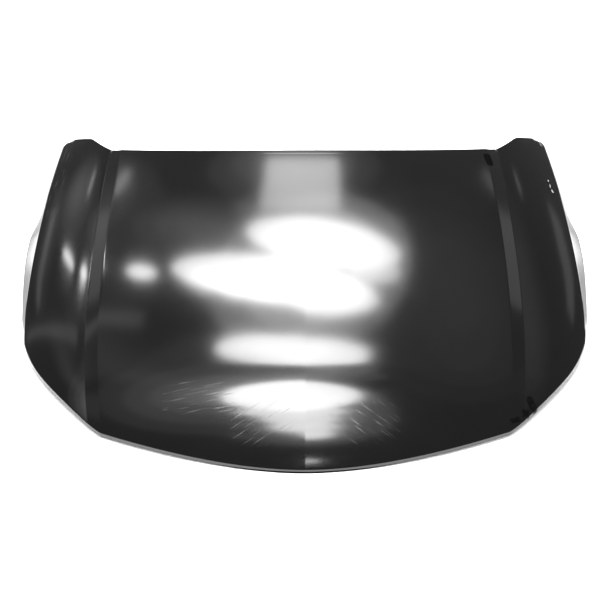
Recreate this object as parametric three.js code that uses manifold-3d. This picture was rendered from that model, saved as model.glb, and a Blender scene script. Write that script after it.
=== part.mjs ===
// Car bonnet lying dome up: a pressed outer panel hemmed over a ribbed inner panel, with the hinge
// and striker parts that the inner panel carries. Millimetres, +Z up, front edge towards -Y.
import * as THREE from "three";
import { mergeVertices } from "three/addons/utils/BufferGeometryUtils.js";
import Module from "manifold-3d";

// Sheets and the hem between them
const skinThickness = 0.8;
const innerThickness = 0.7;
const clearance = 0.3;
const hemRadius = skinThickness + clearance + innerThickness / 2;
const hemReturn = 8;

// Plan of the skin inside its turned edge: distances from the centre line and along it
const centreRearY = 447;
const rearBow = 47;
const earInnerLength = 76;
const earLength = 98.5;
const centreFrontY = -453;
const frontBow = 90;
const cutOffLength = 245;
const creaseRearX = 517;
const creaseFrontX = 476;
const stepWidth = 34.5;
const sideRearX = 700;
const sideWidestX = 710;
const sideFrontX = 695;
const earCornerRadius = 8;

// Places across the skin: 0 on the centre line, then the step's crease, its foot and the side edge
const creaseAt = 1;
const footAt = 1.2;
const earInnerAt = 1.58;
const sideAt = 2;

// Shape of the plan's curves: powers are higher where a curve turns later, and ranges are places
// across or along the skin
const rearPower = 2.36;
const frontPower = 1.8;
const creasePower = 3.5;
const widestAlong = 0.42;
const sideRearPower = 2.3;
const sideFrontPower = 3.5;
const cutOffPower = 1.16;
const cutOffCornerPower = 7.4;
const cutOffCornerShare = 0.17;
const earRisePower = 1.66;
const earFadePower = 5;
const earCornerAlong = 0.02;

// Heights of the skin
const crownTop = 130.5;
const archRadius = 3030;
const archTopY = 155.5;
const noseDrop = 67;
const noseStartY = -220;
const noseLength = 255;
const centreFall = 40;
const stepFall = 8;
const footFall = 5;
const wingFall = 34;
const ridgeHeight = 2.5;
const ridgeReach = 0.35;
const nosePower = 2.2;
const centrePower = 2.1;
const wingPower = 1.8;
const ridgePower = 1.6;
const stepRange = [0.55, 1];
const ridgeRange = [0.4, 0.9];

// Turned edge: chamfer where it starts, its length and its angle below the horizontal
const edgeChamfer = 3;
const hemLip = 10;
const frontLip = 11;
const flankLip = 35;
const sideAngle = 0.85;
const flankAngle = 0.64;
const frontAngle = 1.38;
const steepestSkin = 0.6;
const sideRange = [1.85, sideAt];
const frontRange = [0.86, 1];
const flankRise = [0.3, 0.46];
const flankFall = [0.5, 0.99];

// Inner panel: depths below the skin, and places of its ribs and openings across and along
const ribDepth = 24;
const landDepth = 3.2;
const lowestRib = 11;
const ledgeAcross = 1.93;
const ledgeAlong = 0.014;
const landColumns = [
  [0.066, 0.335],
  [0.439, 0.722],
  [0.826, 1.26],
];
const landRows = [
  [0.12, 0.445],
  [0.515, 0.815],
];
const openingInset = 12;
const openingRadius = 24;

// Flat seats pressed into the inner panel
const hingeSeat = { across: [1.36, 1.76], along: [0.05, 0.165], z: 9 };
const strikerSeat = { across: [0, 0.12], along: [0.86, 0.925], z: 38 };
const seatLevels = [hingeSeat.z, strikerSeat.z];

// Reinforcements, nuts, bolts and striker
const boltDiameter = 8;
const boltHole = 9;
const plateCorner = 6;
const hingePlate = { width: 40, length: 64, thickness: 2 };
const hingeBoltPitch = 36;
const strikerReinforcement = { width: 100, length: 44, thickness: 1.5 };
const strikerPlate = { width: 86, length: 36, thickness: 2.5 };
const strikerBoltPitch = 64;
const strikerWire = 8;
const strikerSpan = 30;
const strikerDrop = 27;
const strikerBend = 9;
const nutAcrossFlats = 13;
const nutHeight = 6.5;
const boltHeadHeight = 5;

// Mastic between the lands and the skin
const masticLength = 30;
const masticWidth = 8;
const masticHeight = landDepth - clearance;
const masticPlaces = [
  { across: 0.323, along: [0.2, 0.36, 0.58, 0.7] },
  { across: 0.71, along: [0.2, 0.36, 0.58, 0.7] },
  { across: 1.23, along: [0.3, 0.64] },
];

const kernel = await Module();
kernel.setup();

const up = new THREE.Vector3(0, 0, 1);
const sides = [
  ["left", -1],
  ["right", 1],
];
const ends = [
  ["front", -1],
  ["rear", 1],
];
const placeTolerance = 1e-6;
const slopeStep = 0.004;

const clamp = (value) => Math.min(1, Math.max(0, value));

function easeBetween([from, to], value) {
  const share = clamp((value - from) / (to - from));
  return share * share * (3 - 2 * share);
}

// Plan of the skin
function creaseX(along) {
  return creaseRearX - (creaseRearX - creaseFrontX) * along ** creasePower;
}

function sideX(along) {
  const behind = clamp((widestAlong - along) / widestAlong);
  const ahead = clamp((along - widestAlong) / (1 - widestAlong));
  const corner = earCornerRadius * (1 - easeBetween([0, earCornerAlong], along));
  const rearLoss = (sideWidestX - sideRearX) * behind ** sideRearPower;
  const frontLoss = (sideWidestX - sideFrontX) * ahead ** sideFrontPower;
  return sideWidestX - rearLoss - frontLoss - corner / 2;
}

function planX(across, along) {
  const crease = creaseX(along);
  const foot = crease + stepWidth;
  if (across <= creaseAt) return crease * across;
  if (across <= footAt) return crease + (stepWidth * (across - creaseAt)) / (footAt - creaseAt);
  return foot + ((sideX(along) - foot) * (across - footAt)) / (sideAt - footAt);
}

function rearY(across) {
  return centreRearY + rearBow * Math.min(across, creaseAt) ** rearPower;
}

function earY(across) {
  const rise = clamp((across - creaseAt) / (earInnerAt - creaseAt)) ** earRisePower;
  const outerShare = clamp((across - earInnerAt) / (sideAt - earInnerAt));
  const corner = earCornerRadius * easeBetween([ledgeAcross, sideAt], across);
  return earInnerLength * rise + (earLength - earInnerLength) * outerShare - corner;
}

function frontY(across) {
  const bow = frontBow * Math.min(across, creaseAt) ** frontPower;
  const share = clamp((planX(across, 1) - creaseFrontX) / (sideFrontX - creaseFrontX));
  const straight = (1 - cutOffCornerShare) * share ** cutOffPower;
  const corner = cutOffCornerShare * share ** cutOffCornerPower;
  return centreFrontY + bow + cutOffLength * (straight + corner);
}

function planY(across, along) {
  const ear = earY(across) * (1 - along) ** earFadePower;
  return rearY(across) + (frontY(across) - rearY(across)) * along + ear;
}

// Height of the skin
function centreHeight(y) {
  const arch = (y - archTopY) ** 2 / (2 * archRadius);
  const nose = Math.max(0, (noseStartY - y) / noseLength) ** nosePower;
  return crownTop - arch - noseDrop * nose;
}

function fallAcross(across, along) {
  const step = stepFall * (1 - easeBetween(stepRange, along));
  const stepShare = clamp((across - creaseAt) / (footAt - creaseAt));
  const wingShare = clamp((across - footAt) / (sideAt - footAt));
  const centre = centreFall * Math.min(across, creaseAt) ** centrePower;
  const wing = (wingFall + stepFall - step) * wingShare ** wingPower;
  return centre + (footFall + step) * stepShare + wing;
}

function skinPoint(signedAcross, along) {
  const across = Math.abs(signedAcross);
  const y = planY(across, along);
  const ridgeShape = clamp(1 - across / ridgeReach) ** ridgePower;
  const ridge = ridgeHeight * ridgeShape * easeBetween(ridgeRange, along);
  const z = centreHeight(y) - fallAcross(across, along) + ridge;
  return new THREE.Vector3(Math.sign(signedAcross) * planX(across, along), y, z);
}

function skinNormal(across, along) {
  const left = skinPoint(Math.max(across - slopeStep, -sideAt), along);
  const right = skinPoint(Math.min(across + slopeStep, sideAt), along);
  const rear = skinPoint(across, Math.max(along - slopeStep, 0));
  const front = skinPoint(across, Math.min(along + slopeStep, 1));
  return front.sub(rear).cross(right.sub(left)).normalize();
}

// Turned edge of the skin at each place of the panel's rim
function edgeShape(across, along, slope) {
  const onSide = easeBetween(sideRange, Math.abs(across));
  const atFront = easeBetween(frontRange, along);
  const flank = onSide * easeBetween(flankRise, along) * (1 - easeBetween(flankFall, along));
  const besideAngle = sideAngle + (flankAngle - sideAngle) * flank;
  const behindAngle = slope + (besideAngle - slope) * onSide;
  return {
    end: behindAngle + (frontAngle - behindAngle) * atFront,
    lip: hemLip + (flankLip - hemLip) * flank + (frontLip - hemLip) * atFront,
  };
}

// Stations round the rim, clockwise from above, with the outward direction and the skin's slope
function rimStations() {
  const rear = acrossLines.map((across) => [across, 0]);
  const right = alongLines.slice(1).map((along) => [sideAt, along]);
  const front = acrossLines.slice(0, -1).reverse().map((across) => [across, 1]);
  const left = alongLines.slice(1, -1).reverse().map((along) => [-sideAt, along]);
  const places = [...rear, ...right, ...front, ...left];
  const points = places.map(([across, along]) => skinPoint(across, along));
  return places.map(([across, along], i) => {
    const before = points[(i + points.length - 1) % points.length];
    const after = points[(i + 1) % points.length];
    const outward = new THREE.Vector3(before.y - after.y, after.x - before.x, 0).normalize();
    const normal = skinNormal(across, along);
    const slope = Math.min(Math.atan(normal.dot(outward) / normal.z), steepestSkin);
    return { point: points[i], outward, slope, ...edgeShape(across, along, slope) };
  });
}

// Direction at a station that falls outward by an angle, and the one square to it under the sheet
function outDirection(station, angle) {
  return station.outward.clone().multiplyScalar(Math.cos(angle)).addScaledVector(up, -Math.sin(angle));
}

function underDirection(station, angle) {
  return outDirection(station, angle + Math.PI / 2);
}

// Rings of the skin's outer face past the rim: turned edge, hem fold and hem return
function skinRings(station) {
  const { point, slope, end } = station;
  const lipStart = point.clone().addScaledVector(outDirection(station, (slope + end) / 2), edgeChamfer);
  const edge = outDirection(station, end);
  const under = underDirection(station, end);
  const returnStart = lipStart.clone().addScaledVector(edge, station.lip - hemReturn);
  const lipEnd = lipStart.clone().addScaledVector(edge, station.lip);
  const centre = lipEnd.clone().addScaledVector(under, hemRadius);
  const fold = [edge, under].map((direction) => centre.clone().addScaledVector(direction, hemRadius));
  const returnEnd = fold[1].clone().addScaledVector(edge, -hemReturn);
  return [lipStart, returnStart, lipEnd, ...fold, returnEnd];
}

// Rings of the inner panel's upper face past the rim: the flange that the hem holds
function flangeRings(station) {
  const gap = skinThickness + clearance;
  const [lipStart, returnStart, lipEnd] = skinRings(station);
  const { slope, end } = station;
  const bend = underDirection(station, (slope + 3 * end) / 4);
  const flat = underDirection(station, end);
  return [
    lipStart.addScaledVector(bend, gap / Math.cos((end - slope) / 4)),
    returnStart.addScaledVector(flat, gap),
    lipEnd.addScaledVector(flat, gap).addScaledVector(outDirection(station, end), -clearance),
  ];
}

// A sheet: a grid of points with rings round it, and the same face set in by its thickness
function sheetGeometry(pointAt, rings, thickness) {
  const points = [];
  const columns = acrossLines.length;
  for (const v of alongLines) {
    for (const u of acrossLines) points.push(pointAt(u, v));
  }
  const at = (column, row) => row * columns + column;
  const quads = [];
  for (let row = 0; row < alongLines.length - 1; row += 1) {
    for (let column = 0; column < columns - 1; column += 1) {
      const corners = [at(column, row), at(column, row + 1), at(column + 1, row + 1), at(column + 1, row)];
      quads.push([...corners, column < (columns - 1) / 2]);
    }
  }
  const lastRow = alongLines.length - 1;
  const lastColumn = columns - 1;
  const rearRim = acrossLines.map((_, i) => at(i, 0));
  const rightRim = alongLines.slice(1).map((_, i) => at(lastColumn, i + 1));
  const frontRim = acrossLines.slice(1).map((_, i) => at(lastColumn - 1 - i, lastRow));
  const leftRim = alongLines.slice(2).map((_, i) => at(0, lastRow - 1 - i));
  let rim = [...rearRim, ...rightRim, ...frontRim, ...leftRim];
  rings.forEach((ring, k) => {
    const next = ring.map((point) => points.push(point) - 1);
    const returning = k === rings.length - 1 && rings.length > 3;
    rim.forEach((here, i) => {
      const j = (i + 1) % rim.length;
      const onLeft = points[here].x + points[rim[j]].x < 0;
      quads.push([here, rim[j], next[j], next[i], onLeft !== returning]);
    });
    rim = next;
  });
  const triangles = quads.flatMap(([a, b, c, d, flip]) =>
    flip
      ? [
          [a, b, d],
          [b, c, d],
        ]
      : [
          [a, b, c],
          [a, c, d],
        ],
  );
  const normals = vertexNormals(points, triangles);
  points.forEach((point, i) => {
    if (seatLevels.includes(point.z)) normals[i].copy(up);
  });
  const count = points.length;
  const inner = points.map((point, i) => point.clone().addScaledVector(normals[i], -thickness));
  const under = triangles.map(([a, b, c]) => [c + count, b + count, a + count]);
  const rimEdge = rim.flatMap((here, i) => {
    const there = rim[(i + 1) % rim.length];
    return [
      [here, there, there + count],
      [here, there + count, here + count],
    ];
  });
  return meshGeometry([...points, ...inner], [...triangles, ...under, ...rimEdge]);
}

// Normals weighted by the corner angle of each face
function vertexNormals(points, triangles) {
  const normals = points.map(() => new THREE.Vector3());
  for (const triangle of triangles) {
    triangle.forEach((index, k) => {
      const toNext = points[triangle[(k + 1) % 3]].clone().sub(points[index]);
      const toLast = points[triangle[(k + 2) % 3]].clone().sub(points[index]);
      const face = toNext.clone().cross(toLast).normalize();
      normals[index].addScaledVector(face, toNext.angleTo(toLast));
    });
  }
  return normals.map((normal) => normal.normalize());
}

function meshGeometry(points, triangles) {
  const geometry = new THREE.BufferGeometry();
  const positions = points.flatMap((point) => [point.x, point.y, point.z]);
  geometry.setAttribute("position", new THREE.Float32BufferAttribute(positions, 3));
  geometry.setIndex(triangles.flat());
  return geometry;
}

// Booleans
function solidOf(geometry) {
  const bare = geometry.clone();
  bare.deleteAttribute("normal");
  bare.deleteAttribute("uv");
  const merged = mergeVertices(bare, 1e-4);
  const mesh = new kernel.Mesh({
    numProp: 3,
    vertProperties: new Float32Array(merged.attributes.position.array),
    triVerts: new Uint32Array(merged.index.array),
  });
  return new kernel.Manifold(mesh);
}

function cutAway(geometry, cutters) {
  let body = solidOf(geometry);
  for (const cutter of cutters) body = body.subtract(solidOf(cutter));
  const mesh = body.getMesh();
  const result = new THREE.BufferGeometry();
  result.setAttribute("position", new THREE.BufferAttribute(mesh.vertProperties, 3));
  result.setIndex(new THREE.BufferAttribute(mesh.triVerts, 1));
  return result;
}

function roundedOutline(corners, radius) {
  const shape = new THREE.Shape();
  corners.forEach((corner, i) => {
    const before = corners[(i + corners.length - 1) % corners.length];
    const after = corners[(i + 1) % corners.length];
    const start = corner.clone().add(before.clone().sub(corner).setLength(radius));
    const end = corner.clone().add(after.clone().sub(corner).setLength(radius));
    if (i === 0) shape.moveTo(start.x, start.y);
    else shape.lineTo(start.x, start.y);
    shape.quadraticCurveTo(corner.x, corner.y, end.x, end.y);
  });
  shape.closePath();
  return shape;
}

function rectangleOutline(width, length, radius) {
  const corners = [
    new THREE.Vector2(-width / 2, -length / 2),
    new THREE.Vector2(width / 2, -length / 2),
    new THREE.Vector2(width / 2, length / 2),
    new THREE.Vector2(-width / 2, length / 2),
  ];
  return roundedOutline(corners, radius);
}

function extrude(shape, depth, curveSegments = 4) {
  return new THREE.ExtrudeGeometry(shape, { depth, bevelEnabled: false, curveSegments });
}

function addHole(shape, x, y, diameter) {
  const hole = new THREE.Path();
  hole.absarc(x, y, diameter / 2, 0, 2 * Math.PI, true);
  shape.holes.push(hole);
}

function drillAt(x, y) {
  const shape = new THREE.Shape();
  shape.absarc(x, y, boltHole / 2, 0, 2 * Math.PI, false);
  return extrude(shape, crownTop, 8);
}

// Mirrors a list of places to both sides of the centre line
function bothSides(lines) {
  const left = lines.filter((line) => line > 0).map((line) => -line);
  return [...left.reverse(), ...lines];
}

function isBetween(value, [from, to]) {
  return value >= from - placeTolerance && value <= to + placeTolerance;
}

// Both panels are drawn on the same lines, so that their facets stay parallel in the hem
const ribLines = [0, 0.039, 0.066, 0.12, 0.2, 0.335, 0.362, 0.412, 0.439, 0.58];
const outerRibLines = [0.722, 0.749, 0.799, 0.826, creaseAt, footAt];
const wingLines = [1.26, 1.36, earInnerAt, 1.76, 1.85, ledgeAcross, sideAt];
const acrossLines = bothSides([...ribLines, ...outerRibLines, ...wingLines]);
const rearRows = [0, ledgeAlong, 0.03, 0.05, 0.105, 0.12, 0.165, 0.23, 0.3, 0.37, 0.445, 0.46, 0.5];
const frontRows = [0.515, 0.59, 0.665, 0.74, 0.815, 0.83, 0.86, 0.925, 0.97, 1 - ledgeAlong, 1];
const alongLines = [...rearRows, ...frontRows];
const stations = rimStations();

function ringsFrom(ringsAt) {
  const perStation = stations.map(ringsAt);
  return perStation[0].map((_, k) => perStation.map((rings) => rings[k]));
}

// Outer panel
function makeOuterPanel() {
  return sheetGeometry(skinPoint, ringsFrom(skinRings), skinThickness);
}

// Inner panel
function innerDepth(across, along) {
  const onLedge = isBetween(across, [ledgeAcross, sideAt]);
  if (onLedge || isBetween(along, [0, ledgeAlong]) || isBetween(along, [1 - ledgeAlong, 1])) return 0;
  const onLand = landColumns.some((column) => isBetween(across, column));
  return onLand && landRows.some((row) => isBetween(along, row)) ? landDepth : ribDepth;
}

function innerPoint(signedAcross, along) {
  const across = Math.abs(signedAcross);
  const skin = skinPoint(signedAcross, along);
  const gap = skinThickness + clearance;
  const point = skin.clone().addScaledVector(skinNormal(signedAcross, along), -gap);
  const depth = innerDepth(across, along);
  if (depth === ribDepth) point.z = Math.max(point.z - depth, Math.min(lowestRib, point.z));
  else point.z -= depth;
  for (const seat of [hingeSeat, strikerSeat]) {
    if (isBetween(across, seat.across) && isBetween(along, seat.along)) point.z = seat.z;
  }
  return point;
}

// One opening per land, set in from the land's edge
function landOpening(column, row, side) {
  const corner = (across, along, inX, inY) => {
    const point = skinPoint(across, along);
    return new THREE.Vector2(side * (point.x + inX * openingInset), point.y + inY * openingInset);
  };
  const corners = [
    corner(column[0], row[0], 1, -1),
    corner(column[0], row[1], 1, 1),
    corner(column[1], row[1], -1, 1),
    corner(column[1], row[0], -1, -1),
  ];
  if (side < 0) corners.reverse();
  return extrude(roundedOutline(corners, openingRadius), crownTop, 3);
}

function makeInnerPanel() {
  const sheet = sheetGeometry(innerPoint, ringsFrom(flangeRings), innerThickness);
  const cutters = [];
  for (const [, side] of sides) {
    for (const column of landColumns) {
      for (const row of landRows) cutters.push(landOpening(column, row, side));
    }
    for (const [, end] of ends) {
      const hinge = hingeCentre(side);
      cutters.push(drillAt(hinge.x, hinge.y + (end * hingeBoltPitch) / 2));
    }
    cutters.push(drillAt((side * strikerBoltPitch) / 2, strikerCentreY()));
  }
  return cutAway(sheet, cutters);
}

function seatMiddle(seat, side) {
  const across = (seat.across[0] + seat.across[1]) / 2;
  return skinPoint(side * across, (seat.along[0] + seat.along[1]) / 2);
}

function hingeCentre(side) {
  return seatMiddle(hingeSeat, side);
}

function strikerCentreY() {
  return planY(0, (strikerSeat.along[0] + strikerSeat.along[1]) / 2);
}

// Hinge reinforcement: a plate lying on the seat's upper side
function makeHingeReinforcement() {
  const base = rectangleOutline(hingePlate.width, hingePlate.length, plateCorner);
  for (const [, end] of ends) addHole(base, 0, (end * hingeBoltPitch) / 2, boltHole);
  return extrude(base, hingePlate.thickness);
}

function makeNut() {
  const shape = new THREE.Shape();
  const corner = nutAcrossFlats / Math.sqrt(3);
  for (let i = 0; i < 6; i += 1) {
    const angle = (i * Math.PI) / 3;
    if (i === 0) shape.moveTo(corner, 0);
    else shape.lineTo(corner * Math.cos(angle), corner * Math.sin(angle));
  }
  shape.closePath();
  addHole(shape, 0, 0, boltHole);
  return extrude(shape, nutHeight, 8);
}

// Flat plate with the two striker bolt holes
function makeStrikerFlat(size) {
  const shape = rectangleOutline(size.width, size.length, plateCorner);
  for (const [, side] of sides) addHole(shape, (side * strikerBoltPitch) / 2, 0, boltHole);
  return extrude(shape, size.thickness);
}

function makeStrikerLoop() {
  const half = strikerSpan / 2;
  const path = new THREE.CurvePath();
  const bottom = -strikerDrop;
  const point = (x, z) => new THREE.Vector3(x, 0, z);
  path.add(new THREE.LineCurve3(point(-half, 0), point(-half, bottom + strikerBend)));
  path.add(
    new THREE.QuadraticBezierCurve3(
      point(-half, bottom + strikerBend),
      point(-half, bottom),
      point(strikerBend - half, bottom),
    ),
  );
  path.add(new THREE.LineCurve3(point(strikerBend - half, bottom), point(half - strikerBend, bottom)));
  path.add(
    new THREE.QuadraticBezierCurve3(
      point(half - strikerBend, bottom),
      point(half, bottom),
      point(half, bottom + strikerBend),
    ),
  );
  path.add(new THREE.LineCurve3(point(half, bottom + strikerBend), point(half, 0)));
  const section = new THREE.Shape();
  section.absarc(0, 0, strikerWire / 2, 0, 2 * Math.PI, false);
  const settings = { steps: 15, curveSegments: 5, extrudePath: path, bevelEnabled: false };
  return new THREE.ExtrudeGeometry(section, settings);
}

function makeBolt(shankLength) {
  const shank = boltDiameter / 2;
  const head = nutAcrossFlats / 2;
  const profile = [
    new THREE.Vector2(0, -boltHeadHeight),
    new THREE.Vector2(head - 1, -boltHeadHeight),
    new THREE.Vector2(head, 1 - boltHeadHeight),
    new THREE.Vector2(head, 0),
    new THREE.Vector2(shank, 0),
    new THREE.Vector2(shank, shankLength - 1),
    new THREE.Vector2(shank - 1, shankLength),
    new THREE.Vector2(0, shankLength),
  ];
  return new THREE.LatheGeometry(profile, 12).rotateX(Math.PI / 2);
}

// Mastic block that follows the skin above it
function makeMastic(across, along) {
  const here = skinPoint(across, along);
  const acrossScale = skinPoint(across + slopeStep, along).distanceTo(here) / slopeStep;
  const alongScale = skinPoint(across, along + slopeStep).distanceTo(here) / slopeStep;
  const halfAcross = masticWidth / 2 / acrossScale;
  const halfAlong = masticLength / 2 / alongScale;
  const corners = [
    [-1, -1],
    [-1, 1],
    [1, 1],
    [1, -1],
  ];
  const level = (depth) =>
    corners.map(([u, v]) => {
      const place = [across + u * halfAcross, along + v * halfAlong];
      const point = skinPoint(...place);
      point.addScaledVector(skinNormal(...place), -skinThickness - clearance);
      point.z -= depth;
      return point;
    });
  const points = [...level(0), ...level(masticHeight)];
  const walls = corners.flatMap((_, i) => {
    const j = (i + 1) % 4;
    return [
      [j, i, i + 4],
      [j, i + 4, j + 4],
    ];
  });
  const top = [
    [0, 1, 2],
    [0, 2, 3],
  ];
  const bottom = top.map(([a, b, c]) => [c + 4, b + 4, a + 4]);
  return meshGeometry(points, [...top, ...bottom, ...walls]);
}

// Assembly
const primer = () => new THREE.MeshStandardMaterial({ color: 0x1c1d1f, roughness: 0.3, metalness: 0 });
const innerPrimer = () => new THREE.MeshStandardMaterial({ color: 0x222325, roughness: 0.5, metalness: 0 });
const zinc = () => new THREE.MeshStandardMaterial({ color: 0xa9a99f, roughness: 0.4, metalness: 1 });
const mastic = () => new THREE.MeshStandardMaterial({ color: 0x4a4a48, roughness: 0.9, metalness: 0 });

const group = new THREE.Group();

function addPart(name, geometry, material, place = new THREE.Vector3()) {
  const mesh = new THREE.Mesh(geometry, material);
  mesh.name = name;
  mesh.position.copy(place);
  group.add(mesh);
  return mesh;
}

function addHingeParts() {
  for (const [label, side] of sides) {
    const centre = hingeCentre(side);
    centre.z = hingeSeat.z + clearance;
    addPart(`hinge_reinforcement_${label}`, makeHingeReinforcement(), innerPrimer(), centre);
    for (const [endLabel, end] of ends) {
      const place = centre.clone();
      place.y += (end * hingeBoltPitch) / 2;
      place.z += hingePlate.thickness + clearance;
      addPart(`hinge_nut_${label}_${endLabel}`, makeNut(), zinc(), place);
    }
  }
}

function addStrikerParts() {
  const y = strikerCentreY();
  const plateZ = strikerSeat.z - innerThickness - clearance - strikerPlate.thickness;
  const belowPlate = plateZ - clearance;
  const reinforcementZ = strikerSeat.z + clearance;
  const nutZ = reinforcementZ + strikerReinforcement.thickness + clearance;
  const at = (x, z) => new THREE.Vector3(x, y, z);
  const reinforcement = makeStrikerFlat(strikerReinforcement);
  addPart("striker_reinforcement", reinforcement, innerPrimer(), at(0, reinforcementZ));
  addPart("striker_plate", makeStrikerFlat(strikerPlate), zinc(), at(0, plateZ));
  addPart("striker_loop", makeStrikerLoop(), zinc(), at(0, belowPlate));
  for (const [label, side] of sides) {
    const x = (side * strikerBoltPitch) / 2;
    addPart(`striker_bolt_${label}`, makeBolt(nutZ + nutHeight - belowPlate), zinc(), at(x, belowPlate));
    addPart(`striker_nut_${label}`, makeNut(), zinc(), at(x, nutZ));
  }
}

function addMastic() {
  for (const [label, side] of sides) {
    let count = 0;
    for (const { across, along: places } of masticPlaces) {
      for (const place of places) {
        count += 1;
        addPart(`mastic_${label}_${count}`, makeMastic(side * across, place), mastic());
      }
    }
  }
}

addPart("outer_panel", makeOuterPanel(), primer());
addPart("inner_panel", makeInnerPanel(), innerPrimer());
addHingeParts();
addStrikerParts();
addMastic();

// The frame's origin is in the middle of the underside of the box round the bonnet
const box = new THREE.Box3().setFromObject(group);
group.position.set(0, -(box.min.y + box.max.y) / 2, -box.min.z);

export default group;
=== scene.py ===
import math
from functools import reduce

import bpy
import numpy as np
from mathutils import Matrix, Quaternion, Vector


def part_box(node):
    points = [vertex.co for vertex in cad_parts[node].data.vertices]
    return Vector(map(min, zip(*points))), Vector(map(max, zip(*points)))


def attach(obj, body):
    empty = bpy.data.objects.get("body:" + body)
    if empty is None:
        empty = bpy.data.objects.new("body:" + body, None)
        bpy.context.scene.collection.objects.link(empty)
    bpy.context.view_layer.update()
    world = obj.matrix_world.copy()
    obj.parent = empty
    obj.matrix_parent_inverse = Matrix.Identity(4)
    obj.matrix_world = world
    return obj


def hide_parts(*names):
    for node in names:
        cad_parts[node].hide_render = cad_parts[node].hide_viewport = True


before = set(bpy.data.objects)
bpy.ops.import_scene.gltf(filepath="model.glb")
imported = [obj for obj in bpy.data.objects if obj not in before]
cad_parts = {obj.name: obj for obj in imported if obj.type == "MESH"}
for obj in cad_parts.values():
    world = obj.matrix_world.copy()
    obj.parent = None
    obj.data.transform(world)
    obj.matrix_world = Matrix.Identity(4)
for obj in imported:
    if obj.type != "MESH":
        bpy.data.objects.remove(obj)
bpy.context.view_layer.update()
print("frame loaded:", len(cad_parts), "nodes")

perMetre = 1000  # the skin is worked out in millimetres


class Wire:
    # One shader socket; sums with it add Math nodes

    def __init__(self, paint, socket):
        self.paint = paint
        self.socket = socket

    def math(self, operation, first, second):
        return self.paint.node("ShaderNodeMath", {"operation": operation}, {0: first, 1: second})

    def __add__(self, other):
        return self.math("ADD", self, other)

    def __radd__(self, other):
        return self.math("ADD", other, self)

    def __sub__(self, other):
        return self.math("SUBTRACT", self, other)

    def __rsub__(self, other):
        return self.math("SUBTRACT", other, self)

    def __mul__(self, other):
        return self.math("MULTIPLY", self, other)

    def __rmul__(self, other):
        return self.math("MULTIPLY", other, self)

    def __pow__(self, other):
        return self.math("POWER", self, other)

    def __rpow__(self, other):
        return self.math("POWER", other, self)

    def most(self, other):
        return self.math("MAXIMUM", self, other)


class Paint:
    # A node tree of a material or of the world

    def __init__(self, owner):
        owner.use_nodes = True
        self.tree = owner.node_tree

    def node(self, kind, settings=None, sockets=None, out=0):
        made = self.tree.nodes.new(kind)
        for key, value in (settings or {}).items():
            setattr(made, key, value)
        for key, value in (sockets or {}).items():
            self.plug(made.inputs[key], value)
        return Wire(self, made.outputs[out])

    def plug(self, socket, value):
        if isinstance(value, Wire):
            self.tree.links.new(value.socket, socket)
        else:
            socket.default_value = value

    def shader(self, **values):
        principled = self.tree.nodes["Principled BSDF"]
        for key, value in values.items():
            self.plug(principled.inputs[key.replace("_", " ")], value)
        return Wire(self, principled.outputs[0])

    def show(self, surface):
        self.plug(self.tree.nodes["Material Output"].inputs["Surface"], surface)

    def place(self):
        return self.node("ShaderNodeTexCoord", out="Object")

    def noise(self, at, scale, detail=2.0):
        return self.node("ShaderNodeTexNoise", {}, {"Vector": at, "Scale": scale, "Detail": detail})

    def part(self, vector, axis):
        return self.node("ShaderNodeSeparateXYZ", {}, {"Vector": vector}, out=axis)

    # Turned first and then squeezed, so the grain follows the turn
    def stretch(self, at, size, turn, middle=(0, 0, 0)):
        sockets = {"Vector": at, "Location": middle, "Rotation": (0, 0, math.radians(turn)), "Scale": size}
        return self.node("ShaderNodeMapping", {"vector_type": "TEXTURE"}, sockets)

    def between(self, value, low, high):
        sockets = {0: value, 1: low, 2: high}
        return self.node("ShaderNodeMapRange", {"interpolation_type": "SMOOTHSTEP"}, sockets)

    def blend(self, share, first, second):
        return self.node("ShaderNodeMix", {"data_type": "RGBA"}, {0: share, 6: first, 7: second}, out=2)

    def bump(self, height, distance, below=None):
        sockets = {"Height": height, "Distance": distance}
        if below is not None:
            sockets["Normal"] = below
        return self.node("ShaderNodeBump", {}, sockets)

    # One inside a rounded patch with a ragged outline, nought outside; its middle is in the skin's own frame
    def patch(self, at, middle, half, turn, ragged=0.6, grain=300.0, solid=0.7, squareness=4):
        local = self.stretch(at, (*half, 1), turn, (middle[0], middle[1] + shiftY, 0))
        reach = self.part(local, "X") ** squareness + self.part(local, "Y") ** squareness
        reach = reach + (self.noise(at, grain, 3.0) - 0.5) * ragged
        return self.between(reach, 1.0, solid)


def grey(value):
    return (value, value, value, 1)


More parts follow.
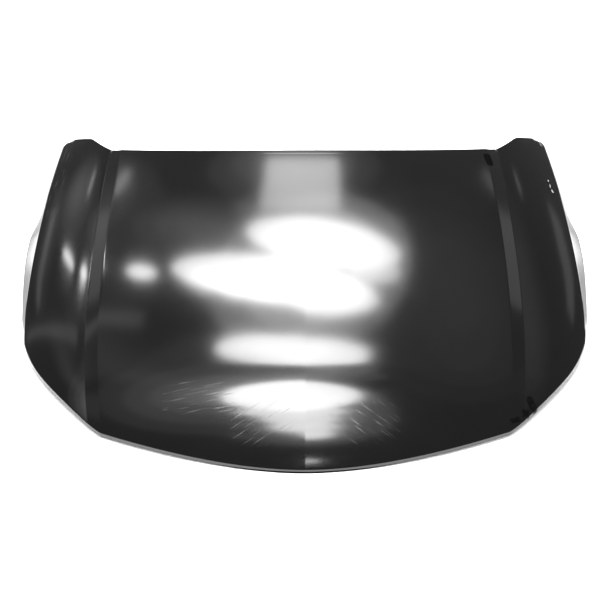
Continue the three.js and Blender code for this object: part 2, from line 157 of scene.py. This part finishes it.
# Shape of the skin, in millimetres
skin = {
    # Sheet and hem
    "thickness": 0.8, "innerThickness": 0.7, "clearance": 0.3, "hemReturn": 8,
    # Outline and creases, seen from above
    "centreRearY": 447, "rearBow": 47, "earInnerLength": 76, "earLength": 98.5, "centreFrontY": -453,
    "frontBow": 90, "cutOffLength": 245, "creaseRearX": 517, "creaseFrontX": 476, "stepWidth": 34.5,
    "sideRearX": 700, "sideWidestX": 710, "sideFrontX": 695, "earCorner": 3, "earCap": 94.4,
    # Places across: crease, foot of the step, inner end of the ear and side
    "creaseAt": 1.0, "footAt": 1.2, "earInnerAt": 1.58, "sideAt": 2.0,
    # How the outline and the creases bend
    "rearPower": 2.36, "frontPower": 1.8, "creasePower": 3.5, "widestAlong": 0.42,
    "sideRearPower": 2.3, "sideFrontPower": 3.5, "cutOffPower": 1.16, "cutOffCornerPower": 7.4,
    "cutOffCornerShare": 0.17, "earRisePower": 1.66, "earFadePower": 5, "earCornerAlong": 0.01,
    "earCornerAt": 1.975,
    # Height along the middle, and the falls beside it
    "crownTop": 130.5, "archRadius": 3030, "archTopY": 155.5, "noseDrop": 67, "noseStartY": -220,
    "noseLength": 255, "centreFall": 40, "stepFall": 8, "footFall": 5, "wingFall": 34,
    "ridgeHeight": 2.5, "ridgeReach": 0.35, "nosePower": 2.2, "centrePower": 2.1, "wingPower": 1.8,
    "ridgePower": 1.6, "stepRange": (0.55, 1), "ridgeRange": (0.4, 0.9),
    # Rolled edge and lip, the angles that they turn to, and where they change
    "edgeChamfer": 3, "hemLip": 10, "frontLip": 11, "flankLip": 34.6, "sideAngle": 0.85,
    "flankAngle": 0.64, "frontAngle": 1.38, "steepestSkin": 0.6, "sideRange": (1.85, 2),
    "frontRange": (0.86, 1), "flankRise": (0.3, 0.46), "flankFall": (0.5, 0.99),
    "pressRadius": 0.8, "pressReach": 2.2, "pressFade": (0, 0.5),  # softness of the step's two creases
    "topTrim": 0.5, "topTrimRange": (110, 130),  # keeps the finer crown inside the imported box
}
skin["hemRadius"] = skin["thickness"] + skin["clearance"] + skin["innerThickness"] / 2
# Where the fall across the skin is read to roll a crease, in its radii, and the weight of each place
pressPlaces = ((-1.6, 0.12), (-0.8, 0.23), (0, 0.3), (0.8, 0.23), (1.6, 0.12))
# Lines of the skin's mesh, closer together at the creases and at the rim
skinLines = {
    "columns": 72, "rows": 140,
    "middle": (0, 0.004, 0.012), "centre": (0.025, 0.93), "step": (0.93, 1.27), "wing": (1.27, 1.96),
    "side": (1.96, 1.975, 1.99, 2.0), "creaseRoom": 0.03,
    "crease": (-0.024, -0.016, -0.01, -0.005, 0, 0.005, 0.01, 0.016, 0.024),
    "rear": (0, 0.002, 0.005, 0.01), "panel": (0.016, 0.985), "front": (0.99, 0.995, 1),
}
# Shares of the rolled edge, the lip, the hem fold and the hem return at which a ring of the rim stands
rimShares = {
    "edge": (0.2, 0.4, 0.6, 0.8), "lip": (0.12, 0.5, 0.88, 1.0), "fold": (0.2, 0.4, 0.6, 0.8, 1.0),
    "return": (0.5, 1.0), "leastTurn": 1e-3,
}


def clamp(value):
    return np.clip(value, 0, 1)


def ease(fromTo, value):
    share = clamp((value - fromTo[0]) / (fromTo[1] - fromTo[0]))
    return share * share * (3 - 2 * share)


def creaseX(along):
    return skin["creaseRearX"] - (skin["creaseRearX"] - skin["creaseFrontX"]) * along ** skin["creasePower"]


def sideX(along):
    widest = skin["widestAlong"]
    behind = clamp((widest - along) / widest) ** skin["sideRearPower"]
    ahead = clamp((along - widest) / (1 - widest)) ** skin["sideFrontPower"]
    corner = skin["earCorner"] * (1 - ease((0, skin["earCornerAlong"]), along))
    lost = (skin["sideWidestX"] - skin["sideRearX"]) * behind
    lost += (skin["sideWidestX"] - skin["sideFrontX"]) * ahead
    return skin["sideWidestX"] - lost - corner / 2


def planX(across, along):
    crease = creaseX(along)
    foot = crease + skin["stepWidth"]
    onStep = crease + skin["stepWidth"] * (across - skin["creaseAt"]) / (skin["footAt"] - skin["creaseAt"])
    onWing = foot + (sideX(along) - foot) * (across - skin["footAt"]) / (skin["sideAt"] - skin["footAt"])
    beside = np.where(across <= skin["footAt"], onStep, onWing)
    return np.where(across <= skin["creaseAt"], crease * across, beside)


def acrossAt(x, along):
    crease = creaseX(along)
    foot = crease + skin["stepWidth"]
    onStep = skin["creaseAt"] + (skin["footAt"] - skin["creaseAt"]) * (x - crease) / skin["stepWidth"]
    onWing = skin["footAt"] + (skin["sideAt"] - skin["footAt"]) * (x - foot) / (sideX(along) - foot)
    return np.where(x <= crease, x / crease, np.where(x <= foot, onStep, onWing))


def earReach(across):
    inner = clamp((across - skin["creaseAt"]) / (skin["earInnerAt"] - skin["creaseAt"]))
    outer = clamp((across - skin["earInnerAt"]) / (skin["sideAt"] - skin["earInnerAt"]))
    reach = skin["earInnerLength"] * inner ** skin["earRisePower"]
    reach = reach + (skin["earLength"] - skin["earInnerLength"]) * outer
    corner = skin["earCorner"] * ease((skin["earCornerAt"], skin["sideAt"]), across)
    return np.minimum(reach, skin["earCap"]) - corner


def planY(across, along):
    inside = np.minimum(across, skin["creaseAt"])
    rear = skin["centreRearY"] + skin["rearBow"] * inside ** skin["rearPower"]
    share = clamp((planX(across, 1.0) - skin["creaseFrontX"]) / (skin["sideFrontX"] - skin["creaseFrontX"]))
    corner = skin["cutOffCornerShare"]
    cutOff = (1 - corner) * share ** skin["cutOffPower"] + corner * share ** skin["cutOffCornerPower"]
    front = skin["centreFrontY"] + skin["frontBow"] * inside ** skin["frontPower"]
    front = front + skin["cutOffLength"] * cutOff
    return rear + (front - rear) * along + earReach(across) * (1 - along) ** skin["earFadePower"]


def centreHeight(y):
    nose = np.maximum(0, (skin["noseStartY"] - y) / skin["noseLength"]) ** skin["nosePower"]
    return skin["crownTop"] - (y - skin["archTopY"]) ** 2 / (2 * skin["archRadius"]) - skin["noseDrop"] * nose


def fallAcross(across, along):
    step = skin["stepFall"] * (1 - ease(skin["stepRange"], along))
    stepShare = clamp((across - skin["creaseAt"]) / (skin["footAt"] - skin["creaseAt"]))
    wingShare = clamp((across - skin["footAt"]) / (skin["sideAt"] - skin["footAt"]))
    centre = skin["centreFall"] * np.minimum(across, skin["creaseAt"]) ** skin["centrePower"]
    wing = (skin["wingFall"] + skin["stepFall"] - step) * wingShare ** skin["wingPower"]
    return centre + (skin["footFall"] + step) * stepShare + wing


def skinPoint(signedAcross, along):
    across = np.abs(signedAcross)
    x = planX(across, along)
    y = planY(across, along)
    fromStep = np.abs(x - creaseX(along) - skin["stepWidth"] / 2)
    near = clamp(1 - fromStep / (skin["pressReach"] * skin["stepWidth"]))
    reach = skin["pressRadius"] * ease(skin["pressFade"], near)  # only the creases are rolled
    fall = 0
    for offset, weight in pressPlaces:
        beside = np.where(reach > 0, acrossAt(x + offset * reach, along), across)
        fall = fall + weight * fallAcross(beside, along)
    ridge = clamp(1 - across / skin["ridgeReach"]) ** skin["ridgePower"] * ease(skin["ridgeRange"], along)
    z = centreHeight(y) - fall + skin["ridgeHeight"] * ridge
    return np.stack([np.sign(signedAcross) * x, y, z], -1)


def skinNormal(across, along, step=0.004):
    side = skin["sideAt"]
    left = skinPoint(np.maximum(across - step, -side), along)
    right = skinPoint(np.minimum(across + step, side), along)
    rear = skinPoint(across, np.maximum(along - step, 0))
    front = skinPoint(across, np.minimum(along + step, 1))
    normal = np.cross(front - rear, right - left)
    return normal / np.linalg.norm(normal, axis=-1, keepdims=True)


def acrossLines():
    columns = skinLines["columns"]
    centre = np.linspace(*skinLines["centre"], columns // 2, endpoint=False)
    even = np.linspace(*skinLines["step"], columns // 6, endpoint=False)
    wing = np.linspace(*skinLines["wing"], columns // 3, endpoint=False)
    creases = (skin["creaseAt"], skin["footAt"])
    toCrease = np.min([np.abs(even - crease) for crease in creases], 0)
    atCreases = [crease + np.array(skinLines["crease"]) for crease in creases]
    step = np.sort(np.concatenate([even[toCrease > skinLines["creaseRoom"]], *atCreases]))
    half = np.concatenate([skinLines["middle"], centre, step, wing, skinLines["side"]])
    return np.concatenate([-half[:0:-1], half])


def alongLines():
    panel = np.linspace(*skinLines["panel"], skinLines["rows"])
    return np.concatenate([skinLines["rear"], panel, skinLines["front"]])


# Places round the rim, clockwise from above, with their outward direction and slope
def rimStations():
    lines, rows = acrossLines(), alongLines()
    side = skin["sideAt"]
    across = np.concatenate([lines, np.full(len(rows) - 1, side), lines[-2::-1], np.full(len(rows) - 2, -side)])
    along = np.concatenate([np.zeros(len(lines)), rows[1:], np.ones(len(lines) - 1), rows[-2:0:-1]])
    point = skinPoint(across, along)
    before, after = np.roll(point, 1, 0), np.roll(point, -1, 0)
    outward = np.stack([before[:, 1] - after[:, 1], after[:, 0] - before[:, 0], np.zeros(len(point))], -1)
    outward /= np.linalg.norm(outward, axis=1, keepdims=True)
    normal = skinNormal(across, along)
    slope = np.minimum(np.arctan((normal * outward).sum(1) / normal[:, 2]), skin["steepestSkin"])
    onSide = ease(skin["sideRange"], np.abs(across))
    atFront = ease(skin["frontRange"], along)
    flank = onSide * ease(skin["flankRise"], along) * (1 - ease(skin["flankFall"], along))
    beside = skin["sideAngle"] + (skin["flankAngle"] - skin["sideAngle"]) * flank
    behind = slope + (beside - slope) * onSide
    end = behind + (skin["frontAngle"] - behind) * atFront
    lip = skin["hemLip"] + (skin["flankLip"] - skin["hemLip"]) * flank
    lip = lip + (skin["frontLip"] - skin["hemLip"]) * atFront
    return {"point": point, "outward": outward, "slope": slope, "end": end, "lip": lip}


def fallingOut(stations, angle):
    angle = np.broadcast_to(angle, stations["slope"].shape)[:, None]
    return stations["outward"] * np.cos(angle) - np.array([0, 0, 1.0]) * np.sin(angle)


# Rings past the rim: rolled edge, lip, hem fold and hem return
def skinRings(stations):
    slope, end = stations["slope"], stations["end"]
    turn = end - slope
    lipStart = stations["point"] + fallingOut(stations, (slope + end) / 2) * skin["edgeChamfer"]
    rings = []
    edge, leastTurn = skin["edgeChamfer"], rimShares["leastTurn"]
    for share in rimShares["edge"]:
        chord = edge * np.sin(turn * share / 2) / np.sin(np.maximum(turn, leastTurn) / 2)
        chord = np.where(turn > leastTurn, chord, edge * share)
        rings.append(stations["point"] + fallingOut(stations, slope + turn * share / 2) * chord[:, None])
    rings.append(lipStart)
    for share in rimShares["lip"]:
        rings.append(lipStart + fallingOut(stations, end) * (stations["lip"] * share)[:, None])
    centre = rings[-1] + fallingOut(stations, end + math.pi / 2) * skin["hemRadius"]
    for share in rimShares["fold"]:
        rings.append(centre + fallingOut(stations, end - math.pi / 2 + math.pi * share) * skin["hemRadius"])
    folded = rings[-1]
    for share in rimShares["return"]:
        rings.append(folded - fallingOut(stations, end) * (skin["hemReturn"] * share))
    return rings


# A sheet from a grid with rings round it, and the same face set in by its thickness
def sheetMesh(grid, rings, thickness):
    rows, columns = grid.shape[:2]
    points = [grid.reshape(-1, 3)]
    index = np.arange(rows * columns).reshape(rows, columns)
    quads = [np.stack([index[:-1, :-1], index[1:, :-1], index[1:, 1:], index[:-1, 1:]], -1).reshape(-1, 4)]
    rim = np.concatenate([index[0], index[1:, -1], index[-1, -2::-1], index[-2:0:-1, 0]])
    count = rows * columns
    for ring in rings:
        ahead = count + np.arange(len(ring))
        count += len(ring)
        points.append(ring)
        quads.append(np.stack([rim, np.roll(rim, -1), np.roll(ahead, -1), ahead], -1))
        rim = ahead
    points = np.concatenate(points)
    quads = np.concatenate(quads)
    normals = np.zeros_like(points)
    cross = np.cross(points[quads[:, 2]] - points[quads[:, 0]], points[quads[:, 3]] - points[quads[:, 1]])
    for corner in range(4):
        np.add.at(normals, quads[:, corner], cross)
    normals /= np.linalg.norm(normals, axis=1, keepdims=True)
    inner = points - normals * thickness
    edge = np.stack([rim, np.roll(rim, -1), np.roll(rim, -1) + count, rim + count], -1)
    faces = np.concatenate([quads, quads[:, ::-1] + count, edge])
    return np.concatenate([points, inner]), faces


def addObject(name, data):
    made = bpy.data.objects.new(name, data)
    bpy.context.scene.collection.objects.link(made)
    return made


def addPiece(name, points, faces, material, nodes):
    mesh = bpy.data.meshes.new(name)
    mesh.from_pydata(points.tolist(), [], faces.tolist())
    mesh.materials.append(material)
    mesh.polygons.foreach_set("use_smooth", np.ones(len(mesh.polygons), bool))
    mesh.update()
    piece = addObject(name, mesh)
    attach(piece, "root")
    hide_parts(*nodes)
    return piece


skinGrid = skinPoint(*np.meshgrid(acrossLines(), alongLines()))
skinGrid[..., 2] -= skin["topTrim"] * ease(skin["topTrimRange"], skinGrid[..., 2])
skinPoints, skinFaces = sheetMesh(skinGrid, skinRings(rimStations()), skin["thickness"])
skinLow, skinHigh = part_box("outer_panel")
middleY = (skinPoints[:, 1].min() + skinPoints[:, 1].max()) / 2
# From the skin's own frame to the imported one
toRow = np.array([0, (skinLow.y + skinHigh.y) / 2 * perMetre - middleY, -skinPoints[:, 2].min()])
shiftY = toRow[1] / perMetre
print("skin faces:", len(skinFaces), "shift in millimetres:", toRow.round(3))


# Black primer: glossy, slightly wavy, with the chips, dull marks and hairlines of the photographed bonnet, and
# painted shade along the bottom of the front hem
primer = {
    "colour": 0.0006, "colourSpread": 0.0006, "roughness": 0.12, "roughnessSpread": 0.03,
    "cloudSize": 9.0, "cloudDetail": 4.0,
    "waveSize": 6.0, "waveDepth": 0.0003, "peelSize": 260.0, "peelDepth": 0.00001,
    # The dull colour serves both the dull marks and the painted shade low on the front hem
    "chipColour": 0.2, "chipRoughness": 0.5, "dullAndShadeColour": 0.002,
    "hairGloss": 0.12, "hairColour": 0.014, "hairSize": (0.06, 0.004, 1), "hairRange": (0.57, 0.77),
    "hairDepth": 0.000004,
    "hemShadeReach": 0.5, "hemShadeFade": 0.12, "hemShadeHeights": (0.0085, 0.0065),  # painted shade: matt near-black low on the front hem, standing in for the shade under the lip
}
# Outlines of the marks: how fine and ragged they are, and how deep inside the mark is whole
crispEdge = {"grain": 90.0}
smearedEdge = {"ragged": 2.2, "grain": 110.0, "solid": -0.1}
fieldEdge = {"ragged": 1.5, "grain": 20.0}
# Middle and half size in metres, and turn in degrees
chips = [
    ((0.683, 0.411), (0.0014, 0.0035), 8),
    ((0.6845, 0.39), (0.0011, 0.007), -4),
    ((0.6875, 0.37), (0.0018, 0.006), 14),
    ((0.69, 0.578), (0.0009, 0.012), 12),
]
dullMarks = [
    ((0.516, 0.461), (0.011, 0.026), 8, crispEdge),
    ((0.699, -0.095), (0.004, 0.02), -6, smearedEdge),
    ((0.534, -0.302), (0.011, 0.021), 20, smearedEdge),
    ((0.518, -0.322), (0.01, 0.012), 0, smearedEdge),
    ((0.492, -0.338), (0.014, 0.007), 12, smearedEdge),
]
# Middle, half size and turn of each field of hairlines, and the turn of the lines in it
hairlines = [
    ((-0.1, -0.355), (0.075, 0.055), 0, 28),
    ((0.14, -0.358), (0.085, 0.05), 0, -33),
    ((-0.25, -0.3), (0.09, 0.04), 0, 8),
    ((-0.685, 0.43), (0.02, 0.17), 0, 84),
]


# Fine lines with one turn inside a patch
def hairField(paint, at, middle, half, turn, lineTurn):
    streak = paint.noise(paint.stretch(at, primer["hairSize"], lineTurn), 1.0, detail=1.0)
    return paint.between(streak, *primer["hairRange"]) * paint.patch(at, middle, half, turn, **fieldEdge)


def makeBlackPrimer():
    material = bpy.data.materials.new("blackPrimer")
    paint = Paint(material)
    at = paint.place()
    cloud = paint.noise(at, primer["cloudSize"], primer["cloudDetail"])
    chip = reduce(Wire.most, [paint.patch(at, *mark) for mark in chips])
    aside, height, hemShadeReach = paint.part(at, "X"), paint.part(at, "Z"), primer["hemShadeReach"]
    # Painted shade: near the front tip the lowest millimetres of the hem turn matt near-black, for the shade
    # under the lip
    atTip = paint.between(aside * aside, hemShadeReach ** 2, (hemShadeReach - primer["hemShadeFade"]) ** 2)
    hemPaintedShade = paint.between(height, *primer["hemShadeHeights"]) * atTip
    dullAndShade = reduce(Wire.most, [paint.patch(at, *mark, **edge) for *mark, edge in dullMarks])
    # The matt mix takes both the dull marks and the painted hem shade
    dullAndShade = dullAndShade.most(hemPaintedShade)
    hair = sum(hairField(paint, at, *field) for field in hairlines)
    low = grey(primer["colour"] - primer["colourSpread"] / 2)
    high = grey(primer["colour"] + primer["colourSpread"] / 2)
    coat = paint.blend(hair, paint.blend(cloud, low, high), grey(primer["hairColour"]))
    colour = paint.blend(chip, coat, grey(primer["chipColour"]))
    gloss = primer["roughness"] + (cloud - 0.5) * primer["roughnessSpread"] + hair * primer["hairGloss"]
    wavy = paint.bump(paint.noise(at, primer["waveSize"], detail=1.0), primer["waveDepth"])
    peel = paint.bump(paint.noise(at, primer["peelSize"], detail=1.0), primer["peelDepth"], wavy)
    cut = paint.bump(1 - hair.most(chip), primer["hairDepth"], peel)
    glossy = paint.shader(Base_Color=colour, Roughness=gloss.most(chip * primer["chipRoughness"]), Normal=cut)
    # One matt near-black for the dull marks and for the painted shade on the front hem
    matt = paint.node("ShaderNodeBsdfDiffuse", {}, {"Color": grey(primer["dullAndShadeColour"])})
    paint.show(paint.node("ShaderNodeMixShader", {}, {0: dullAndShade, 1: glossy, 2: matt}))
    return material


skinPlaces = (skinPoints + toRow) / perMetre
addPiece("bonnetSkin", skinPlaces, skinFaces, makeBlackPrimer(), ["outer_panel"])
print("skin built")


# Finishes of the pieces below the skin
finishes = {
    "inner_primer": {
        "colour": 0.022, "spread": 0.3, "roughness": 0.32, "metallic": 0.0, "grain": 60.0, "depth": 0.00002,
    },
    "zinc_steel": {
        "colour": 0.5, "spread": 0.25, "roughness": 0.34, "metallic": 1.0, "grain": 420.0, "depth": 0.00001,
    },
    "mastic": {
        "colour": 0.05, "spread": 0.4, "roughness": 0.75, "metallic": 0.0, "grain": 180.0, "depth": 0.0003,
    },
}
# What they share: size and detail of the clouds and the grain, and how far both change the roughness
finishDetail = {
    "cloudSize": 14.0, "cloudDetail": 4.0, "cloudGloss": 0.15, "grainDetail": 3.0, "grainGloss": 0.1,
}


def makeFinish(name, look):
    material = bpy.data.materials.new(name)
    paint = Paint(material)
    at = paint.place()
    cloud = paint.noise(at, finishDetail["cloudSize"], finishDetail["cloudDetail"])
    grain = paint.noise(at, look["grain"], finishDetail["grainDetail"])
    low, high = grey(look["colour"] * (1 - look["spread"])), grey(look["colour"] * (1 + look["spread"]))
    gloss = look["roughness"] + (cloud - 0.5) * finishDetail["cloudGloss"]
    gloss = gloss + (grain - 0.5) * finishDetail["grainGloss"]
    colour = paint.blend(cloud, low, high)
    raised = paint.bump(grain, look["depth"])
    paint.shader(Base_Color=colour, Roughness=gloss, Metallic=look["metallic"], Normal=raised)
    return material


finishMaterials = {name: makeFinish(name, look) for name, look in finishes.items()}


def dressNode(name, piece):
    if name.startswith("mastic"):
        slotName = "mastic"
    elif "reinforcement" in name or name == "inner_panel":
        slotName = "inner_primer"
    else:
        slotName = "zinc_steel"
    piece.data.materials.clear()
    piece.data.materials.append(finishMaterials[slotName])


for nodeName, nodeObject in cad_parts.items():
    if nodeName != "outer_panel":
        dressNode(nodeName, nodeObject)
print("inner pieces dressed")


# Studio: a pale floor, lamp panels overhead, two low side panels and a dim room
studio = {
    "floor": 0.8, "floorSpread": 0.01, "floorRoughness": 0.7, "speckSize": 3.0, "speckDetail": 3.0,
    "floorHalf": 30, "floorGap": 0.0005, "backdrop": 0.92, "fill": 0.9, "room": 0.33,
    "lampHeight": 2.4, "glowLift": 0.01,
}
# Middle across and along, width and length in metres, turn in degrees and brightness
lamps = {
    "rearPatch": (-0.02, 3.00, 0.74, 1.17, -1, 8.8),
    "tip": (0.1, -2.6, 0.24, 0.09, 9, 34),
    "cornerBand": (-4.19, 1.73, 5.68, 0.18, -14, 1.0),
    "rightStep": (4.02, 3.1, 0.6, 2.6, -13, 0.8),
    "leftStepBand": (-4.05, 3.2, 0.3, 2.4, 14, 1.2),
}
# The same for oval lamps, which leave rounded highlights
ovals = {
    "behind": (0.17, 1.92, 1.4, 0.68, -17, 19),
    "middle": (-0.33, 1.43, 1.8, 0.52, -16, 22),
    "middleEnd": (0.13, 1.27, 1.0, 0.48, -14, 20),
    "rightFill": (0.6, 1.54, 0.46, 0.34, -10, 12),
    "leftSpot": (-1.52, 1.67, 0.38, 0.19, -30, 25),
    "wingStrip": (-2.4, 2.19, 1.0, 0.13, -40, 23),
    "bar": (-0.09, 0.62, 1.28, 0.36, -4, 24),
    "front": (-0.09, -0.46, 1.14, 0.92, 0, 24),
    "noseTail": (-0.08, -0.91, 0.96, 0.4, 0, 16),
    "noseUpper": (-0.03, -1.13, 0.78, 0.4, 0, 15),
    "noseLower": (0.0, -1.38, 0.72, 0.42, 0, 16),
    "noseEnd": (0.1, -1.62, 0.46, 0.36, 0, 18),
    "creaseGlow": (-2.16, 3.66, 0.15, 0.75, 0, 4.5),
    "rightCreaseGlow": (2.24, 3.66, 0.15, 0.7, 0, 1.5),
}
# Soft glows, each of overlapping ellipses: the same values, with the size of the smallest ellipse
glows = {
    "hazeCore": (0.08, 1.64, 0.40, 0.55, -22, 11.4),
    "gapGlow": (-0.38, 1.30, 0.34, 0.11, -19, 38.7),
    "rearGlow": (-2.83, 3.78, 0.91, 0.43, -54, 1.1),
    "leftWide": (-0.92, 2.18, 0.66, 0.25, -29, 1.2),
    "midHaze": (-1.56, 1.73, 0.23, 0.40, -37, 0.3),
    "rightRoom": (1.4, 1.3, 0.45, 0.9, 0, 0.3),
    "rightHaze": (0.38, 1.30, 0.17, 0.84, -26, 2.3),
    "barHaze": (-0.12, 0.07, 0.55, 0.23, 32, 4.4),
    "frontHaze": (-0.76, -0.39, 0.58, 0.59, -41, 1.5),
    "noseHaze": (-0.08, -0.97, 0.40, 0.53, 13, 4.5),
    "leftStep": (-4.24, 4.10, 0.22, 1.18, 22, 0.5),
    "rearHaze": (-0.11, 3.56, 0.45, 0.45, 30, 1.6),
    "behindHaze": (-0.5, 2.48, 0.15, 0.12, -20, 1.7),
    "cornerHaze": (-1.69, 0.50, 0.86, 0.20, -41, 0.4),
}
glowSteps = ((1.0, 0.215), (2.0, 0.297), (3.0, 0.26), (4.2, 0.198))  # size and share of the brightness
# Two low panels, one beside each flank
sideLamps = {"distance": 1.2, "middleY": 0.55, "length": 0.55, "height": 0.1, "brightness": 9}


# Clear from below, so that the underside can be looked at
def makeFloor():
    material = bpy.data.materials.new("paleFloor")
    paint = Paint(material)
    speck = paint.noise(paint.place(), studio["speckSize"], studio["speckDetail"])
    low, high = grey(studio["floor"] - studio["floorSpread"]), grey(studio["floor"] + studio["floorSpread"])
    solid = paint.shader(Base_Color=paint.blend(speck, low, high), Roughness=studio["floorRoughness"])
    clear = paint.node("ShaderNodeBsdfTransparent")
    fromBelow = paint.node("ShaderNodeNewGeometry", out="Backfacing")
    paint.show(paint.node("ShaderNodeMixShader", {}, {0: fromBelow, 1: solid, 2: clear}))
    mesh = bpy.data.meshes.new("floor")
    half = studio["floorHalf"]
    corners = [(-half, -half, 0), (half, -half, 0), (half, half, 0), (-half, half, 0)]
    mesh.from_pydata(corners, [], [(0, 1, 2, 3)])
    mesh.materials.append(material)
    floor = addObject("floor", mesh)
    floor.location.z = -studio["floorGap"]


# The brightness is the light that each part of the lamp sends out, so a larger lamp gets more power
def addLamp(name, place, width, length, brightness, turn, shape="RECTANGLE"):
    lamp = bpy.data.lights.new(name, "AREA")
    lamp.shape = shape
    lamp.size, lamp.size_y = width, length
    area = width * length * (math.pi / 4 if shape == "ELLIPSE" else 1)
    lamp.energy = brightness * math.pi * area
    holder = addObject(name, lamp)
    holder.location = place
    holder.rotation_euler = turn
    holder.visible_camera = False


def makeLamps():
    height = studio["lampHeight"]
    for shape, group in (("RECTANGLE", lamps), ("ELLIPSE", ovals)):
        for name, (x, y, width, length, turn, brightness) in group.items():
            level = (0, 0, math.radians(turn))
            addLamp(name, (x, y + shiftY, height), width, length, brightness, level, shape)
    for name, (x, y, width, length, turn, brightness) in glows.items():
        level = (0, 0, math.radians(turn))
        for scale, share in glowSteps:
            place = (x, y + shiftY, height + scale * studio["glowLift"])
            addLamp(name, place, width * scale, length * scale, brightness * share, level, "ELLIPSE")
    for side in (-1, 1):
        place = (side * sideLamps["distance"], sideLamps["middleY"] + shiftY, sideLamps["height"] / 2)
        facing = (0, side * math.pi / 2, 0)
        addLamp(f"low{side}", place, sideLamps["height"], sideLamps["length"], sideLamps["brightness"], facing)


# The camera sees a pale backdrop, glossy paint sees a dim room, and matt surfaces get an even fill
def makeWorld():
    world = bpy.data.worlds.new("studio")
    paint = Paint(world)
    seen = paint.node("ShaderNodeLightPath", out="Is Camera Ray")
    mirrored = paint.node("ShaderNodeLightPath", out="Is Glossy Ray")
    around = paint.blend(mirrored, grey(studio["fill"]), grey(studio["room"]))
    colour = paint.blend(seen, around, grey(studio["backdrop"]))
    paint.plug(paint.tree.nodes["Background"].inputs["Color"], colour)
    bpy.context.scene.world = world


# Place and lens of the photographer's camera; the focal length and middle are in pixels of the photograph
viewpoint = {
    "elevation": 54.7, "azimuth": -0.29, "roll": -0.054, "distance": 2.399, "targetHeight": 0.04,
    "focal": 942.8, "middle": (304.8, 301.8), "pixels": 600, "sensor": 36,
}


def makeCamera():
    elevation, azimuth = math.radians(viewpoint["elevation"]), math.radians(viewpoint["azimuth"])
    half = viewpoint["pixels"] / 2
    target = Vector((0, shiftY, viewpoint["targetHeight"] + toRow[2] / perMetre))
    level = Vector((math.sin(azimuth), -math.cos(azimuth), 0)) * math.cos(elevation)
    back = level + Vector((0, 0, math.sin(elevation)))
    data = bpy.data.cameras.new("camera")
    data.sensor_width = viewpoint["sensor"]
    data.lens = viewpoint["sensor"] * viewpoint["focal"] / viewpoint["pixels"]
    data.shift_x = (half - viewpoint["middle"][0]) / viewpoint["pixels"]
    data.shift_y = (viewpoint["middle"][1] - half) / viewpoint["pixels"]
    camera = addObject("camera", data)
    camera.location = target + back * viewpoint["distance"]
    roll = Quaternion(back, -math.radians(viewpoint["roll"]))
    camera.rotation_mode = "QUATERNION"
    camera.rotation_quaternion = roll @ (-back).to_track_quat("-Z", "Y")
    bpy.context.scene.camera = camera


makeFloor()
makeLamps()
makeWorld()
makeCamera()
bpy.context.scene.view_settings.view_transform = "Standard"
print("studio ready")
